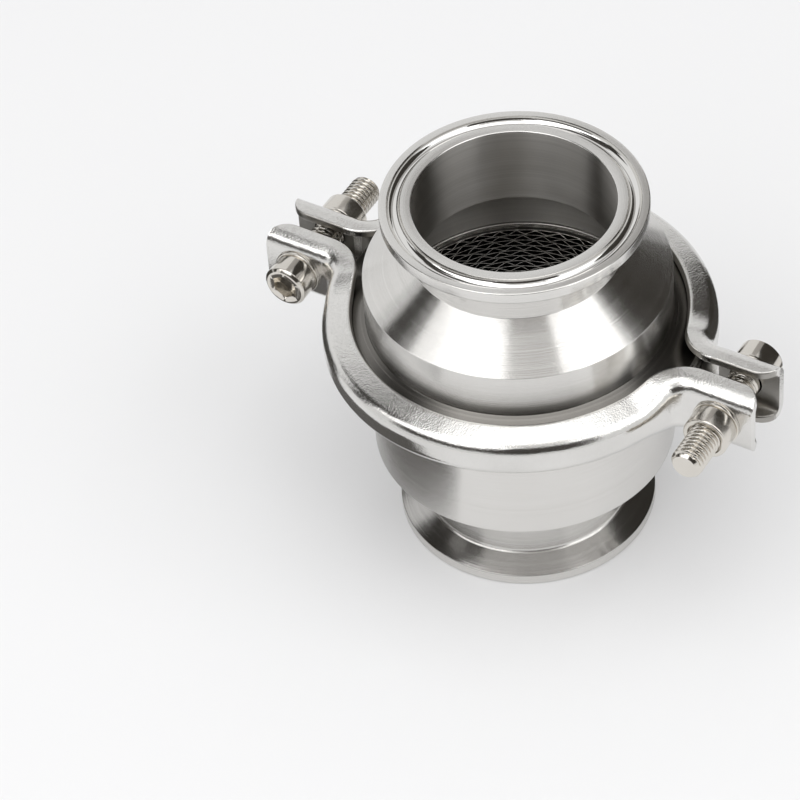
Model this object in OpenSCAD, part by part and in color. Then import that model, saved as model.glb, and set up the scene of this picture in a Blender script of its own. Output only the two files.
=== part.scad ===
// Sanitary flame arrestor: two turned housings, a pressed two-screw clamp and a crimped-ribbon element

/* [Ports] */
// Bore through a port
port_bore = 48.6; // [40:0.2:56]
// Width of a port face from the bore to its rim
port_face_w = 7.7; // [7:0.1:10]
// Wall of the neck behind a port
neck_wall = 1.4; // [1.2:0.1:2]
// Thickness of a port flange at its rim
port_rim = 2.85; // [2:0.05:4]
// Slope of the clamping faces, in degrees
clamp_slope = 20; // [16:1:24]
// Distance of the seal groove's middle from the rim of a port face
port_groove_in = 3.5; // [3:0.1:4]
// Depth of a seal groove
groove_depth = 1.5; // [1:0.1:1.8]
// Radius of the half-round seal groove
groove_r = 1.65; // [1.5:0.05:2]

/* [Housings] */
// Outside diameter of the barrel
body_od = 74.4; // [66:0.2:90]
// Wall of the barrel beside the element
body_wall = 3.6; // [3:0.1:5]
// Ledge that the element's sleeve rests on
seat_ledge = 0.8; // [0.5:0.1:1.2]
// Length of the lower neck
lower_neck_len = 10.8; // [8:0.2:20]
// Length of the upper neck
upper_neck_len = 8.5; // [6:0.1:20]
// Height of the cone between neck and barrel
cone_len = 8.6; // [7:0.2:12]
// Plain length of the lower barrel
lower_body_len = 29.2; // [24:0.2:50]
// Plain length of the upper barrel
upper_body_len = 11.9; // [8:0.1:30]
// How far a chamber reaches past the edge of the barrel
chamber_rise = 0.85; // [0:0.05:1.5]
// Chamfer on the sharp edges
edge_break = 0.3; // [0.1:0.05:0.5]
// Fillet between neck and port flange
neck_fillet = 1; // [0.5:0.1:2]

/* [Joint] */
// Width of a joint flange past the barrel
flange_w = 8.3; // [7.5:0.1:12]
// Thickness of a joint flange at its rim
flange_rim = 1.7; // [1.2:0.05:3]
// Rounding of a joint flange's edge inside the clamp
flange_edge_r = 1; // [0.9:0.1:1.4]
// Distance of the groove's middle from the rim of a joint flange
flange_groove_in = 3.8; // [3:0.1:4.5]
// Thickness of the gasket in the joint
gasket_t = 1.5; // [1:0.1:2.5]
// Room between the gasket and the flange rims
gasket_inset = 0.6; // [0.3:0.1:1.5]

/* [Clamp] */
// Thickness of the pressed sheet
clamp_t = 2.2; // [1.5:0.1:3]
// Outer radius of the pressed bends
clamp_bend = 4; // [3.2:0.1:4.4]
// Width of the ring from its outside to the lips
clamp_ring_w = 6.9; // [6:0.1:8]
// Distance from the outside of the ring to a screw
screw_gap = 9.5; // [9:0.1:20]
// Length of an ear past its screw
ear_past_screw = 8.9; // [7:0.1:14]
// Height of an ear
ear_h = 16.8; // [15:0.2:22]
// Distance of an ear's outer face from the split
ear_face = 8.6; // [8:0.1:11]
// Gap between facing ears
ear_gap = 4.1; // [2:0.1:6]
// Outside radius of the bend from ring to ear
ear_bend = 4; // [3:0.1:5]
// Corner radius at the tip of an ear's flange
ear_corner = 5; // [2:0.1:5.4]
// Part of the ring over which it takes the form of an ear, in degrees
morph_angle = 10; // [4:1:20]
// Length of an ear over which it takes the form of the ring
morph_run = 1.5; // [0.5:0.1:2]
// Room between the clamp and the joint flanges
clamp_fit = 0.1; // [0.08:0.01:0.2]
// Room between the clamp and the rims of the flanges
clamp_rim_fit = 0.3; // [0.2:0.05:0.6]

/* [Fasteners] */
// Diameter of the clamp screws
screw_d = 8; // [6:0.5:8]
// Length of a clamp screw under its head
screw_len = 35; // [28:1:50]
// Diameter of a clamp screw's head
screw_head_d = 11.2; // [10.4:0.2:12]
// Height of a clamp screw's head
screw_head_h = 6; // [4:0.5:8]
// Width across the flats of the socket
socket_w = 6; // [5:0.5:6]
// Depth of the socket
socket_depth = 3; // [2:0.2:3.4]
// Diameter of the round clamp nuts
nut_d = 11.4; // [10.4:0.2:12]
// Height of a clamp nut
nut_h = 5.7; // [5:0.1:6.8]
// Outside diameter of a clamp washer
washer_od = 12; // [11:0.5:12]
// Thickness of the washers
washer_t = 1; // [0.8:0.1:1.6]
// Play of a screw in its hole
hole_play = 0.6; // [0.4:0.1:1]
// Play of a screw in its nut
thread_play = 0.1; // [0.04:0.02:0.2]

/* [Element] */
// Thickness of the sleeve
sleeve_t = 1; // [0.8:0.1:1.2]
// Height of the sleeve
sleeve_h = 28; // [24:0.5:31]
// Width of the ribbons
ribbon_w = 25; // [20:0.5:26]
// Thickness of the ribbons
ribbon_t = 0.2; // [0.1:0.02:0.3]
// Radial distance from one turn of ribbon to the next
turn_pitch = 1.85; // [1.6:0.05:2.4]
// Length of one crimp along the strip
crimp_pitch = 4.8; // [3.5:0.1:6]
// Room between the crimps and the plain ribbon
ribbon_fit = 0.06; // [0.03:0.01:0.1]
// Outside diameter of the core tube
core_od = 10; // [9:0.5:14]
// Diameter of the core bolt
core_bolt_d = 6; // [5:0.5:6]
// Length of the core bolt under its head
core_bolt_len = 35; // [33:0.5:38]
// Height of the core bolt's head
core_head_h = 4; // [3:0.2:5]
// Width across the flats of the core bolt's head and its nut
core_hex_w = 10; // [9:0.5:11]
// Height of the core nut
core_nut_h = 5; // [4:0.2:6]
// Outside diameter of the core washers
core_washer_od = 16; // [14:0.5:20]
// Room between the element and its seat
element_fit = 0.2; // [0.1:0.05:0.4]
// Depth of the element's seat in the upper housing
upper_seat = 1.8; // [1:0.1:3]

/* [Hidden] */

$fn = 96;
steel = [0.80, 0.80, 0.79];
bright_steel = [0.86, 0.86, 0.85];
plated_steel = [0.78, 0.76, 0.71];
foil_steel = [0.62, 0.62, 0.60];
seal_white = [0.93, 0.92, 0.89];
cut = 1;

// Radii of the turned parts
bore_r = port_bore / 2;
port_r = bore_r + port_face_w;
neck_r = bore_r + neck_wall;
body_r = body_od / 2;
flange_r = body_r + flange_w;
seat_r = body_r - body_wall;
chamber_r = seat_r - seat_ledge;
sleeve_r = seat_r - element_fit;

// Heights of the taper behind a port flange and behind a joint flange
port_taper_h = (port_r - neck_r) * tan(clamp_slope);
flange_taper_h = (flange_r - body_r) * tan(clamp_slope);

// Height of a housing from its port face to its joint face
function housing_h(neck_len, body_len) =
    port_rim + port_taper_h + neck_len + cone_len + body_len + flange_taper_h + flange_rim;
lower_h = housing_h(lower_neck_len, lower_body_len);
upper_h = housing_h(upper_neck_len, upper_body_len);
joint_z = lower_h + gasket_t / 2;
total_h = lower_h + gasket_t + upper_h;

// Heights of the element
sleeve_top = lower_h + gasket_t + upper_seat - element_fit;
sleeve_bottom = sleeve_top - sleeve_h;
ribbon_bottom = sleeve_bottom + (sleeve_h - ribbon_w) / 2;
ribbon_top = ribbon_bottom + ribbon_w;
lower_seat = lower_h - sleeve_bottom;

// Clamp ring: the outer radius and the height of the lips above the joint
ring_r = flange_r + clamp_rim_fit + clamp_t;
lip_r = ring_r - clamp_ring_w;
lip_rise = clamp_t / cos(clamp_slope) + (flange_r - lip_r) * tan(clamp_slope);
lip_z = gasket_t / 2 + flange_rim + clamp_fit + lip_rise;
screw_x = ring_r + screw_gap;
ear_end = screw_x + ear_past_screw;
ear_w = ear_face - ear_gap / 2;
ear_bend_y = ear_face + ear_bend;
ear_bend_x = sqrt(pow(ring_r + ear_bend, 2) - pow(ear_bend_y, 2));
ring_start = atan2(ear_bend_y, ear_bend_x);
ring_steps = 13;
morph_steps = 4;
bend_steps = 6;
corner_steps = 5;

// Seats of the fasteners along a screw
head_seat = ear_face + washer_t;
thread_end = screw_len - head_seat;
chamfer_angle = 30;

// Wound ribbons: radius range of the pack and the room for one crimp
core_r = core_od / 2;
pack_in = core_r + ribbon_fit + ribbon_t / 2;
pack_out = sleeve_r - sleeve_t - ribbon_fit - ribbon_t / 2;
crimp_rise = turn_pitch - ribbon_t - 2 * ribbon_fit;
flat_sag = 0.05;
pack_span = pow(pack_out, 1.5) - pow(pack_in, 1.5);
flat_count = ceil(4 * PI * pack_span / (3 * turn_pitch * sqrt(8 * flat_sag)));

// Points of an arc about [x, y] from angle a0 to angle a1
function arc(x, y, r, a0, a1, n) =
    [for (i = [0:n]) [x + r * cos(a0 + (a1 - a0) * i / n), y + r * sin(a0 + (a1 - a0) * i / n)]];

// Half section of a housing, with its port face at height 0 and its joint face at the top
function housing_points(neck_len, body_len, seat_depth) =
    let (
        taper_top = port_rim + port_taper_h,
        cone_base = taper_top + neck_len,
        barrel_base = cone_base + cone_len,
        barrel_top = barrel_base + body_len,
        rim_base = barrel_top + flange_taper_h,
        top = rim_base + flange_rim,
        floor_z = barrel_base - chamber_rise,
        fillet_half = (90 - clamp_slope) / 2,
        fillet_z = taper_top + neck_fillet * tan(fillet_half),
        edge_z = rim_base + flange_edge_r * tan(fillet_half)
    )
    concat(
        [[bore_r + edge_break, 0], [port_r - edge_break, 0], [port_r, edge_break], [port_r, port_rim]],
        arc(neck_r + neck_fillet, fillet_z, neck_fillet, 270 - clamp_slope, 180, 6),
        [[neck_r, cone_base], [body_r, barrel_base], [body_r, barrel_top]],
        arc(flange_r - flange_edge_r, edge_z, flange_edge_r, clamp_slope - 90, 0, 5),
        [
            [flange_r, top - edge_break], [flange_r - edge_break, top],
            [seat_r, top], [seat_r, top - seat_depth], [chamber_r, top - seat_depth],
            [chamber_r, floor_z], [bore_r + edge_break, floor_z], [bore_r, floor_z - edge_break],
            [bore_r, edge_break]
        ]
    );

// Round ring groove of the seal, cut into a face at height z
module seal_groove(middle_r, z, up) {
    rise = up * (groove_r - groove_depth);
    rotate_extrude() translate([middle_r, z + rise]) circle(r = groove_r);
}

module housing(neck_len, body_len, seat_depth) {
    difference() {
        rotate_extrude() polygon(housing_points(neck_len, body_len, seat_depth));
        seal_groove(port_r - port_groove_in, 0, -1);
        seal_groove(flange_r - flange_groove_in, housing_h(neck_len, body_len), 1);
    }
}

module lower_housing() {
    color(steel) housing(lower_neck_len, lower_body_len, lower_seat);
}

module upper_housing() {
    color(steel) translate([0, 0, total_h]) mirror([0, 0, 1])
        housing(upper_neck_len, upper_body_len, upper_seat);
}

// Flat ring with a bead on each face that lies in the groove of its flange
module body_gasket() {
    bead_r = groove_r - element_fit;
    bead_z = gasket_t / 2 - groove_r + groove_depth - element_fit;
    color(seal_white) translate([0, 0, joint_z]) rotate_extrude() {
        translate([seat_r + element_fit, -gasket_t / 2])
            square([flange_r - gasket_inset - seat_r - element_fit, gasket_t]);
        for (side = [-1, 1])
            translate([flange_r - flange_groove_in, side * bead_z]) circle(r = bead_r);
    }
}

// Share of ear form at a length s along the outer face, counted from the end of the ring
morph_back = ring_r * morph_angle * PI / 180;
bend_run = ear_bend * (90 - ring_start) * PI / 180;
function ease(t) = t * t * (3 - 2 * t);
function ear_share(s) = ease(min(1, max(0, (s + morph_back) / (morph_back + bend_run + morph_run))));

// Stations along a clamp half: place on the outer face, direction to the lips, share of ear form
function ear_station(x) = [x, ear_face, 0, -1, ear_share(bend_run + x - ear_bend_x)];
function bend_station(t) =
    let (a = 270 - (90 - ring_start) * t)
    [
        ear_bend_x + ear_bend * cos(a), ear_bend_y + ear_bend * sin(a), cos(a), sin(a),
        ear_share(bend_run * (1 - t))
    ];
function ring_station(a) =
    [ring_r * cos(a), ring_r * sin(a), -cos(a), -sin(a), ear_share((ring_start - a) * ring_r * PI / 180)];
function mirrored(s) = [-s[0], s[1], -s[2], s[3], s[4]];
right_stations = concat(
    [ear_station(ear_end), ear_station(ear_bend_x + morph_run)],
    [for (i = [0:bend_steps]) bend_station(i / bend_steps)],
    [for (i = [1:morph_steps]) ring_station(ring_start + morph_angle * i / morph_steps)]
);
ring_plain = ring_start + morph_angle;
clamp_stations = concat(
    right_stations,
    [for (i = [1:ring_steps - 1]) ring_station(ring_plain + (90 - ring_plain) * i / ring_steps)],
    [ring_station(90)],
    [for (i = [ring_steps - 1:-1:1]) mirrored(ring_station(ring_plain + (90 - ring_plain) * i / ring_steps))],
    [for (i = [len(right_stations) - 1:-1:0]) mirrored(right_stations[i])]
);

// Upper half of the clamp's section at one station: [inward, up] and the outward normal
function section_points(ear) =
    let (
        slope = clamp_slope * (1 - ear),
        w = clamp_ring_w + (ear_w - clamp_ring_w) * ear,
        z = lip_z + (ear_h / 2 - lip_z) * ear,
        bend_z = z - (w - clamp_bend) * tan(slope) - clamp_bend / cos(slope)
    )
    concat(
        [[w, z, -sin(slope), cos(slope)]],
        [for (i = [0:corner_steps])
            let (b = (90 - slope) * (1 - i / corner_steps))
            [clamp_bend * (1 - cos(b)), bend_z + clamp_bend * sin(b), -cos(b), sin(b)]]
    );
function section_loop(ear) =
    let (
        top = section_points(ear),
        n = len(top) - 1,
        outer = concat([for (p = top) [p[0], p[1]]], [for (i = [n:-1:0]) [top[i][0], -top[i][1]]]),
        inner_top = [for (p = top) [p[0] - clamp_t * p[2], p[1] - clamp_t * p[3]]],
        inner = concat([for (p = inner_top) [p[0], -p[1]]], [for (i = [n:-1:0]) inner_top[i]])
    )
    concat(outer, inner);

module clamp_pressing() {
    loops = [for (s = clamp_stations)
        [for (p = section_loop(s[4])) [s[0] + s[2] * p[0], s[1] + s[3] * p[0], p[1]]]];
    m = len(loops[0]);
    n = len(loops);
    points = [for (loop = loops) each loop];
    sides = [for (i = [0:n - 2]) for (j = [0:m - 1])
        let (k = (j + 1) % m)
        each [[i * m + j, i * m + k, (i + 1) * m + k], [i * m + j, (i + 1) * m + k, (i + 1) * m + j]]];
    last = (n - 1) * m;
    caps = [for (j = [0:m / 2 - 2])
        let (k = m - 1 - j)
        each [
            [k - 1, j + 1, j], [k, k - 1, j],
            [last + j, last + j + 1, last + k - 1], [last + j, last + k - 1, last + k]
        ]];
    polyhedron(points = points, faces = concat(sides, caps), convexity = 8);
}

// Cutter that leaves a round corner on the flanges at an ear's tip
module tip_corner() {
    difference() {
        translate([ear_end - ear_corner, ear_gap / 2 - cut, -ear_h])
            cube([ear_corner + cut, ear_corner + cut, 2 * ear_h]);
        translate([ear_end - ear_corner, ear_gap / 2 + ear_corner, -ear_h - cut])
            cylinder(r = ear_corner, h = 2 * ear_h + 2 * cut);
    }
}

module clamp_half() {
    color(bright_steel) translate([0, 0, joint_z]) difference() {
        clamp_pressing();
        for (side = [0, 1]) mirror([side, 0, 0]) {
            tip_corner();
            translate([screw_x, 0, 0]) rotate([-90, 0, 0])
                cylinder(d = screw_d + hole_play, h = ear_face + cut);
        }
    }
}

module clamp_half_rear() {
    clamp_half();
}

module clamp_half_front() {
    rotate([0, 0, 180]) clamp_half();
}

// Places its child at the right screw, pointing to the rear
module at_right_screw() {
    translate([screw_x, 0, joint_z]) rotate([-90, 0, 0]) children();
}

module at_left_screw() {
    rotate([0, 0, 180]) at_right_screw() children();
}

// Hexagon of a given width across flats, chamfered at one end or at both
module hexagon(w, h, bottom, top) {
    corner = w / cos(30) / 2;
    drop = (corner - w / 2) * tan(chamfer_angle);
    intersection() {
        cylinder(r = corner, h = h, $fn = 6);
        rotate_extrude() polygon([
            [0, 0], [w / 2, 0], [corner, bottom * drop], [corner, h - top * drop], [w / 2, h], [0, h]
        ]);
    }
}

module cap_screw() {
    color(plated_steel) difference() {
        rotate_extrude() polygon([
            [0, -thread_end], [screw_d / 2 - 2 * edge_break, -thread_end],
            [screw_d / 2, -thread_end + 2 * edge_break], [screw_d / 2, head_seat],
            [screw_head_d / 2, head_seat], [screw_head_d / 2, head_seat + screw_head_h - 2 * edge_break],
            [screw_head_d / 2 - 2 * edge_break, head_seat + screw_head_h], [0, head_seat + screw_head_h]
        ]);
        translate([0, 0, head_seat + screw_head_h - socket_depth])
            cylinder(d = socket_w / cos(30), h = socket_depth + cut, $fn = 6);
    }
}

module washer(od, bolt_d, z) {
    color(plated_steel) translate([0, 0, z]) difference() {
        cylinder(d = od, h = washer_t);
        translate([0, 0, -cut]) cylinder(d = bolt_d + hole_play, h = washer_t + 2 * cut);
    }
}

module clamp_nut() {
    color(plated_steel) translate([0, 0, -head_seat - nut_h]) difference() {
        rotate_extrude() polygon([
            [0, 0], [nut_d / 2 - 2 * edge_break, 0], [nut_d / 2, 2 * edge_break],
            [nut_d / 2, nut_h - 2 * edge_break], [nut_d / 2 - 2 * edge_break, nut_h], [0, nut_h]
        ]);
        translate([0, 0, -cut]) cylinder(d = screw_d + thread_play, h = nut_h + 2 * cut);
    }
}

module clamp_screw_right() { at_right_screw() cap_screw(); }
module clamp_screw_left() { at_left_screw() cap_screw(); }
module screw_washer_right() { at_right_screw() washer(washer_od, screw_d, ear_face); }
module screw_washer_left() { at_left_screw() washer(washer_od, screw_d, ear_face); }
module nut_washer_right() { at_right_screw() washer(washer_od, screw_d, -head_seat); }
module nut_washer_left() { at_left_screw() washer(washer_od, screw_d, -head_seat); }
module clamp_nut_right() { at_right_screw() clamp_nut(); }
module clamp_nut_left() { at_left_screw() clamp_nut(); }

module element_sleeve() {
    color(foil_steel) translate([0, 0, sleeve_bottom]) difference() {
        cylinder(r = sleeve_r, h = sleeve_h);
        translate([0, 0, -cut]) cylinder(r = sleeve_r - sleeve_t, h = sleeve_h + 2 * cut);
    }
}

// Radius of the wound pack after a strip length s, and the angle turned by then
function wound_r(s) = sqrt(pow(pack_in, 2) + s * turn_pitch / PI);
function wound_a(s) = (wound_r(s) - pack_in) / turn_pitch * 360;
function polar(r, a) = [r * cos(a), r * sin(a)];

// Strip that follows a list of [radius, angle] with a half thickness measured along the radius
module strip(path, half) {
    outer = [for (p = path) polar(p[0] + half, p[1])];
    inner = [for (i = [len(path) - 1:-1:0]) polar(path[i][0] - half, path[i][1])];
    color(foil_steel) translate([0, 0, ribbon_bottom]) linear_extrude(ribbon_w) polygon(concat(outer, inner));
}

// The steps grow with the radius so that every chord keeps the same sag
module flat_ribbon() {
    strip([for (i = [0:flat_count])
        let (r = pow(pow(pack_in, 1.5) + pack_span * i / flat_count, 2 / 3))
        [r + flat_sag / 2, (r - pack_in) / turn_pitch * 360]], ribbon_t / 2);
}

// The crimps lie between one turn of the plain ribbon and the next, so they stop a turn early
module crimped_ribbon() {
    reach = PI * (pow(pack_out - turn_pitch, 2) - pow(pack_in, 2)) / turn_pitch;
    n = floor(2 * reach / crimp_pitch);
    lean = atan2(crimp_rise - ribbon_t, crimp_pitch / 2);
    half = ribbon_t / 2 / cos(lean);
    swing = crimp_rise / 2 - half;
    strip([for (i = [0:n])
        let (s = i * crimp_pitch / 2)
        [wound_r(s) + turn_pitch / 2 + (i % 2 == 0 ? swing : -swing), wound_a(s)]], half);
}

module core_tube() {
    color(foil_steel) translate([0, 0, ribbon_bottom]) difference() {
        cylinder(d = core_od, h = ribbon_w);
        translate([0, 0, -cut]) cylinder(d = core_bolt_d + hole_play, h = ribbon_w + 2 * cut);
    }
}

module core_washer_top() { washer(core_washer_od, core_bolt_d, ribbon_top); }
module core_washer_bottom() { washer(core_washer_od, core_bolt_d, ribbon_bottom - washer_t); }

module core_nut() {
    color(plated_steel) translate([0, 0, ribbon_bottom - washer_t - core_nut_h]) difference() {
        hexagon(core_hex_w, core_nut_h, 1, 1);
        translate([0, 0, -cut]) cylinder(d = core_bolt_d + thread_play, h = core_nut_h + 2 * cut);
    }
}

module core_bolt() {
    seat = ribbon_top + washer_t;
    tip = seat - core_bolt_len;
    color(plated_steel) union() {
        translate([0, 0, seat]) hexagon(core_hex_w, core_head_h, 0, 1);
        rotate_extrude() polygon([
            [0, tip], [core_bolt_d / 2 - 2 * edge_break, tip], [core_bolt_d / 2, tip + 2 * edge_break],
            [core_bolt_d / 2, seat], [0, seat]
        ]);
    }
}

upper_housing();
lower_housing();
body_gasket();
clamp_half_front();
clamp_half_rear();
clamp_screw_left();
clamp_screw_right();
clamp_nut_left();
clamp_nut_right();
screw_washer_left();
screw_washer_right();
nut_washer_left();
nut_washer_right();
element_sleeve();
crimped_ribbon();
flat_ribbon();
core_tube();
core_bolt();
core_nut();
core_washer_top();
core_washer_bottom();
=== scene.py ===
import math

import bmesh
import bpy
from mathutils import Matrix, Vector


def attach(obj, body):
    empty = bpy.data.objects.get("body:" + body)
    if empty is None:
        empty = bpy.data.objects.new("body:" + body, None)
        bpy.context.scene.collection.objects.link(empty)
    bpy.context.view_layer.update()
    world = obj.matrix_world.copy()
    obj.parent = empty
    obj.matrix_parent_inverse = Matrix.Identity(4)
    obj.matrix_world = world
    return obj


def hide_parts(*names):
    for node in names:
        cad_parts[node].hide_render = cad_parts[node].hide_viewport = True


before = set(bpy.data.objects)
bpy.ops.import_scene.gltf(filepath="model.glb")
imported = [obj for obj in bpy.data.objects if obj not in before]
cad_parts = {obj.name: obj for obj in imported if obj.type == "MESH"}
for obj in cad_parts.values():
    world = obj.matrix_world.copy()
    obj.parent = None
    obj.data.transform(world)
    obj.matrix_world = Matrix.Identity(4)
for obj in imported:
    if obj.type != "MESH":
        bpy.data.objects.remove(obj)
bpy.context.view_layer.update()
scene = bpy.context.scene
MM = 0.001

# Sizes of the arrestor in millimetres, the same as in the part's source
PORT_R = 32.0
BORE_R = 24.3
NECK_R = 25.7
PORT_RIM = 2.85
SLOPE = math.radians(20)
PORT_GROOVE_R = 28.5
GROOVE_R = 1.65
GROOVE_DEPTH = 1.5
BODY_R = 37.2
CONE_LEN = 8.6
CHAMBER_R = 32.8
CHAMBER_RISE = 0.85
EDGE = 0.3
NECK_FILLET = 1.0
FLANGE_R = 45.5
FLANGE_RIM = 1.7
FLANGE_GROOVE_R = 41.7
GASKET_T = 1.5
LOWER_NECK, LOWER_BODY = 10.8, 29.2
UPPER_NECK, UPPER_BODY = 8.5, 11.9
PORT_TAPER_H = (PORT_R - NECK_R) * math.tan(SLOPE)
FLANGE_TAPER_H = (FLANGE_R - BODY_R) * math.tan(SLOPE)
LOWER_H = PORT_RIM + PORT_TAPER_H + LOWER_NECK + CONE_LEN + LOWER_BODY + FLANGE_TAPER_H + FLANGE_RIM
UPPER_H = PORT_RIM + PORT_TAPER_H + UPPER_NECK + CONE_LEN + UPPER_BODY + FLANGE_TAPER_H + FLANGE_RIM
TOTAL_H = LOWER_H + GASKET_T + UPPER_H
JOINT_Z = LOWER_H + GASKET_T / 2

CLAMP_T = 2.2
CLAMP_BEND = 4.0
CLAMP_RING_W = 6.9
CLAMP_FIT = 0.1
RING_R = FLANGE_R + 0.3 + CLAMP_T
LIP_R = RING_R - CLAMP_RING_W
LIP_Z = (GASKET_T / 2 + FLANGE_RIM + CLAMP_FIT + CLAMP_T / math.cos(SLOPE)
         + (FLANGE_R - LIP_R) * math.tan(SLOPE))
SCREW_X = RING_R + 9.5
EAR_END = SCREW_X + 8.9
EAR_H = 16.8
EAR_FACE = 8.6
EAR_GAP = 4.1
EAR_BEND = 4.0
EAR_CORNER = 5.0
EAR_W = EAR_FACE - EAR_GAP / 2
MORPH_ANGLE = math.radians(10)
MORPH_RUN = 1.5

SCREW_R = 4.0
SCREW_LEN = 35.0
SCREW_THREAD = (1.25, 0.72)
HEAD_R = 5.6
HEAD_H = 6.0
SOCKET_W = 6.0
SOCKET_DEPTH = 3.0
NUT_R = 5.7
NUT_H = 5.7
WASHER_R = 6.0
WASHER_T = 1.0
HOLE_R = 4.3
HEAD_SEAT = EAR_FACE + WASHER_T

SLEEVE_R = 33.4
SLEEVE_T = 1.0
SLEEVE_H = 28.0
RIBBON_W = 25.0
RIBBON_T = 0.2
RIBBON_FIT = 0.06
TURN_PITCH = 1.85
CRIMP_PITCH = 4.8
CORE_R = 5.0
CORE_BOLT_R = 3.0
CORE_THREAD = (1.0, 0.5)
CORE_HOLE_R = 3.3
CORE_BOLT_LEN = 35.0
CORE_HEX_W = 10.0
CORE_NUT_H = 5.0
CORE_HEAD_H = 4.0
CORE_WASHER_R = 8.0
ELEMENT_FIT = 0.2
SEAT_R = SLEEVE_R + ELEMENT_FIT
UPPER_SEAT = 1.8
SLEEVE_TOP = LOWER_H + GASKET_T + UPPER_SEAT - ELEMENT_FIT
SLEEVE_BOTTOM = SLEEVE_TOP - SLEEVE_H
RIBBON_BOTTOM = SLEEVE_BOTTOM + (SLEEVE_H - RIBBON_W) / 2
RIBBON_TOP = RIBBON_BOTTOM + RIBBON_W
LOWER_SEAT = LOWER_H - SLEEVE_BOTTOM

# Small fillets and edges, in millimetres
RIM_FILLET = 0.25
CONE_FILLET = 0.35
SHOULDER_FILLET = 0.22
BARREL_FILLET = 0.3
FLANGE_EDGE_R = 1.0
SEAT_EDGE = 0.15
SEAT_CORNER = 0.1
FLOOR_CORNER = 0.4
BORE_FILLET = 0.45
GASKET_INSET = 0.6
GASKET_EDGE = 0.2
GASKET_LIP = 0.1

# Tolerances: the first two for outlines in millimetres, the others for meshes in metres
TINY = 1e-9
ON_AXIS = 1e-6
WELD = 1e-7
SEAM = 2e-6
TIP_LEVEL = 1e-6

# Numbers of the sockets of a colour mix
MIX_FACTOR, MIX_DARK, MIX_LIGHT, MIX_COLOUR = 0, 6, 7, 2
NOISE_LOW, NOISE_HIGH = 0.3, 0.7
QUARTER_TURN = 0.25


# Small builders for node trees

def link(tree, source, target):
    tree.links.new(source, target)


def math_node(tree, operation, a, b=None, c=None):
    made = tree.nodes.new("ShaderNodeMath")
    made.operation = operation
    for socket, value in zip(made.inputs, (a, b, c)):
        if value is None:
            continue
        if isinstance(value, (int, float)):
            socket.default_value = value
        else:
            link(tree, value, socket)
    return made.outputs[0]


def plus(tree, a, b):
    return math_node(tree, "ADD", a, b)


def minus(tree, a, b):
    return math_node(tree, "SUBTRACT", a, b)


def times(tree, a, b):
    return math_node(tree, "MULTIPLY", a, b)


def over(tree, a, b):
    return math_node(tree, "DIVIDE", a, b)


def scaled(tree, value, factor, more):
    """A value times a factor, and more added to it."""
    return math_node(tree, "MULTIPLY_ADD", value, factor, more)


def mixed(tree, a, b, share):
    """A share of the first value with the rest of the second."""
    return scaled(tree, a, share, times(tree, b, 1 - share))


def noise(tree, vector, scale, detail=2.0, rough=0.5):
    made = tree.nodes.new("ShaderNodeTexNoise")
    made.inputs["Scale"].default_value = scale
    made.inputs["Detail"].default_value = detail
    made.inputs["Roughness"].default_value = rough
    link(tree, vector, made.inputs["Vector"])
    return made.outputs["Fac"]


def spread(tree, value, low, high, out_low, out_high):
    made = tree.nodes.new("ShaderNodeMapRange")
    link(tree, value, made.inputs["Value"])
    limits = {"From Min": low, "From Max": high, "To Min": out_low, "To Max": out_high}
    for key, number in limits.items():
        made.inputs[key].default_value = number
    return made.outputs["Result"]


def swing(tree, value, out_low, out_high):
    """Spreads the usual swing of a noise over a range."""
    return spread(tree, value, NOISE_LOW, NOISE_HIGH, out_low, out_high)


def tint(tree, value, dark, light):
    """Mix of two colours, each a plain one or the end of another node."""
    made = tree.nodes.new("ShaderNodeMix")
    made.data_type = "RGBA"
    for place, colour in ((MIX_DARK, dark), (MIX_LIGHT, light)):
        if isinstance(colour, tuple):
            made.inputs[place].default_value = (*colour, 1)
        else:
            link(tree, colour, made.inputs[place])
    link(tree, value, made.inputs[MIX_FACTOR])
    return made.outputs[MIX_COLOUR]


def bump(tree, height, strength, depth, before=None):
    made = tree.nodes.new("ShaderNodeBump")
    made.inputs["Strength"].default_value = strength
    made.inputs["Distance"].default_value = depth
    link(tree, height, made.inputs["Height"])
    if before is not None:
        link(tree, before, made.inputs["Normal"])
    return made.outputs["Normal"]


def surface(name, grain=0.0, metallic=1.0):
    made = bpy.data.materials.new(name)
    made.use_nodes = True
    tree = made.node_tree
    shader = tree.nodes["Principled BSDF"]
    shader.inputs["Metallic"].default_value = metallic
    shader.inputs["Anisotropic"].default_value = grain
    place = tree.nodes.new("ShaderNodeTexCoord").outputs["Object"]
    return made, tree, shader, place


def dress(tree, shader, colour, roughness, normal):
    for key, source in (("Base Color", colour), ("Roughness", roughness), ("Normal", normal)):
        link(tree, source, shader.inputs[key])


def stretched(tree, place, scale):
    made = tree.nodes.new("ShaderNodeMapping")
    made.inputs["Scale"].default_value = scale
    link(tree, place, made.inputs["Vector"])
    return made.outputs["Vector"]


def lathe_marks(tree, place):
    """Radius and height of a point in millimetres, so a pattern on them runs round the axis."""
    parts = tree.nodes.new("ShaderNodeSeparateXYZ")
    link(tree, place, parts.inputs[0])
    x, y, z = parts.outputs
    radius = math_node(tree, "SQRT", plus(tree, times(tree, x, x), times(tree, y, y)))
    joined = tree.nodes.new("ShaderNodeCombineXYZ")
    link(tree, times(tree, radius, 1 / MM), joined.inputs[0])
    link(tree, times(tree, z, 1 / MM), joined.inputs[1])
    return joined.outputs[0]


def round_grain(tree, shader):
    """Grain direction along the profile of a turned piece, from its own map."""
    grain = tree.nodes.new("ShaderNodeTangent")
    grain.direction_type = "UV_MAP"
    grain.uv_map = "turning"
    link(tree, grain.outputs[0], shader.inputs["Tangent"])
    shader.inputs["Anisotropic Rotation"].default_value = QUARTER_TURN


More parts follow.
